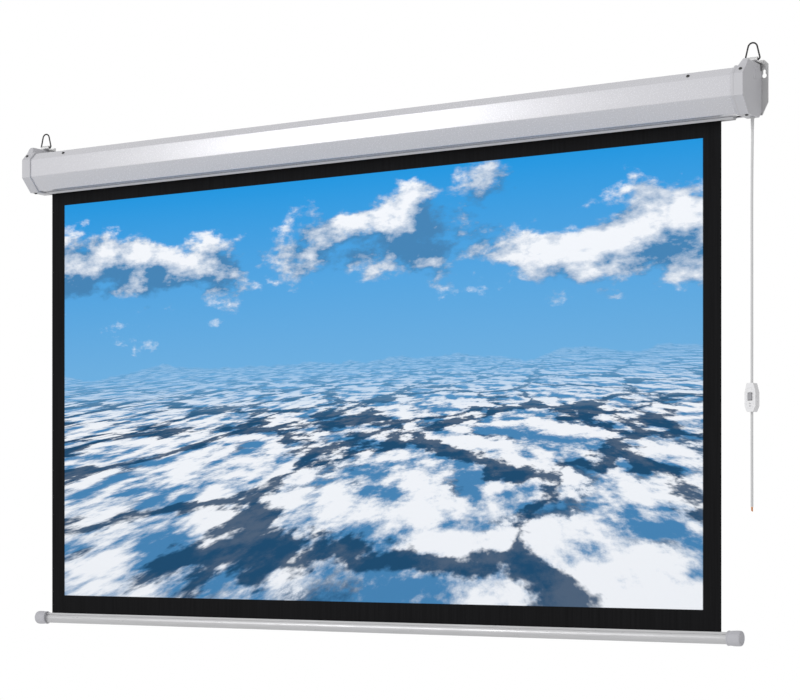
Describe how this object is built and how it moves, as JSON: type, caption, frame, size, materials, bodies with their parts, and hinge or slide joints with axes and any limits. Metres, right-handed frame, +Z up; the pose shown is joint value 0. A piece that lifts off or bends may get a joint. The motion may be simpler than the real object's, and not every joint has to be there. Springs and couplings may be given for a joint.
{
  "type": "motorized projection screen",
  "caption": "Wall-hung projection screen: a chamfered white case with a motor roller, a lowered fabric with a black border, a weight bar, hanging rings and a corded switch.",
  "frame": {"origin": "middle of the housing's flat back face, which lies against the wall", "axes": "+X to the right of a viewer in front of the screen, along the housing; +Y into the wall; +Z up"},
  "size_m": [1.802, 0.0926, 1.1366],
  "materials": {
    "casing": "white powder coat, satin",
    "cap_plastic": "moulded white plastic, fine grain",
    "lip": "soft white edge strip",
    "zinc_steel": "zinc-plated steel",
    "plate_steel": "dull grey steel plate",
    "ring_chrome": "bright plated wire",
    "screw_steel": "blackened screw",
    "screen_fabric": "matt white screen cloth with a black border",
    "aluminium": "satin anodised extrusion",
    "bar_cap_plastic": "moulded grey plastic",
    "motor_paint": "black painted steel tube",
    "inner_plastic": "dark glass-filled plastic",
    "bush_plastic": "natural nylon",
    "limit_yellow": "yellow plastic",
    "limit_white": "white plastic",
    "lead_rubber": "black flexible lead",
    "cord_plastic": "white flexible sheath",
    "switch_shell": "white moulded shell",
    "rocker_plastic": "grey moulded key",
    "copper": "insulated core ends with ferrules"
  },
  "bodies": {
    "housing": {"housing_case": "casing", "slot_lip_front": "lip", "slot_lip_rear": "lip", "end_cap_left": "cap_plastic", "end_cap_right": "cap_plastic", "idler_bracket": "zinc_steel", "motor_bracket": "zinc_steel", "wall_plate_left": "plate_steel", "wall_plate_right": "plate_steel", "cap_screw_left_top": "screw_steel", "cap_screw_left_bottom": "screw_steel", "cap_screw_right_top": "screw_steel", "cap_screw_right_bottom": "screw_steel", "case_screw_left": "screw_steel", "case_screw_right": "screw_steel", "plate_screw_left_upper": "screw_steel", "plate_screw_left_lower": "screw_steel", "plate_screw_right_upper": "screw_steel", "plate_screw_right_lower": "screw_steel", "motor_head": "inner_plastic", "motor_tube": "motor_paint", "limit_switch_unit": "inner_plastic", "motor_core": "plate_steel", "motor_gearbox": "zinc_steel", "idler_bush": "bush_plastic", "terminal_box": "inner_plastic", "terminal_box_lid": "cap_plastic", "motor_capacitor": "bush_plastic", "motor_lead": "lead_rubber", "mains_lead": "lead_rubber", "cord_gland": "cord_plastic", "cord_upper": "cord_plastic", "cord_lower": "cord_plastic", "cord_cores": "copper", "switch_front": "switch_shell", "switch_back": "switch_shell", "switch_screw": "screw_steel", "switch_contacts": "inner_plastic", "rocker_pin": "zinc_steel", "screen_fabric": "screen_fabric"},
    "roller": {"roller_tube": "aluminium", "fabric_spare_turns": "screen_fabric", "motor_crown": "bush_plastic", "drive_shaft": "plate_steel", "drive_wheel": "bush_plastic", "idler_plug": "bush_plastic", "idler_pin": "plate_steel"},
    "bar": {"weight_bar": "aluminium", "hem_rod": "zinc_steel", "bar_cap_left": "bar_cap_plastic", "bar_cap_right": "bar_cap_plastic"},
    "ring_left": {"hanging_ring_left": "ring_chrome"},
    "ring_right": {"hanging_ring_right": "ring_chrome"},
    "limit_up": {"limit_screw_up": "limit_yellow"},
    "limit_down": {"limit_screw_down": "limit_white"},
    "rocker": {"switch_rocker": "rocker_plastic"}
  },
  "joints": [
    {"name": "bar_travel", "type": "slide", "parent": "housing", "child": "bar", "axis": [0, 0, 1], "range_m": [0, 0.96], "deforming": ["screen_fabric"]},
    {"name": "roller_spin", "type": "hinge", "parent": "housing", "child": "roller", "pos_m": [0, -0.0516, 0.004], "axis": [1, 0, 0], "range_deg": [0, 2450]},
    {"name": "ring_left_swing", "type": "hinge", "parent": "housing", "child": "ring_left", "pos_m": [-0.878, -0.022, 0.0639], "axis": [1, 0, 0], "range_deg": [-35, 94]},
    {"name": "ring_right_swing", "type": "hinge", "parent": "housing", "child": "ring_right", "pos_m": [0.878, -0.022, 0.0639], "axis": [1, 0, 0], "range_deg": [-35, 94]},
    {"name": "limit_up_turn", "type": "hinge", "parent": "housing", "child": "limit_up", "pos_m": [0.866, -0.0386, -0.0095], "axis": [0, 0, 1], "continuous": true},
    {"name": "limit_down_turn", "type": "hinge", "parent": "housing", "child": "limit_down", "pos_m": [0.859, -0.0386, -0.0095], "axis": [0, 0, 1], "continuous": true},
    {"name": "rocker_tilt", "type": "hinge", "parent": "housing", "child": "rocker", "pos_m": [0.8782, -0.0321, -0.5695], "axis": [1, 0, 0], "range_deg": [-9, 9], "stiffness_Nm_per_rad": 0.05}
  ],
  "couplings": [
    {"joint": "roller_spin", "follows": "bar_travel", "rad_per_m": 44.5}
  ]
}
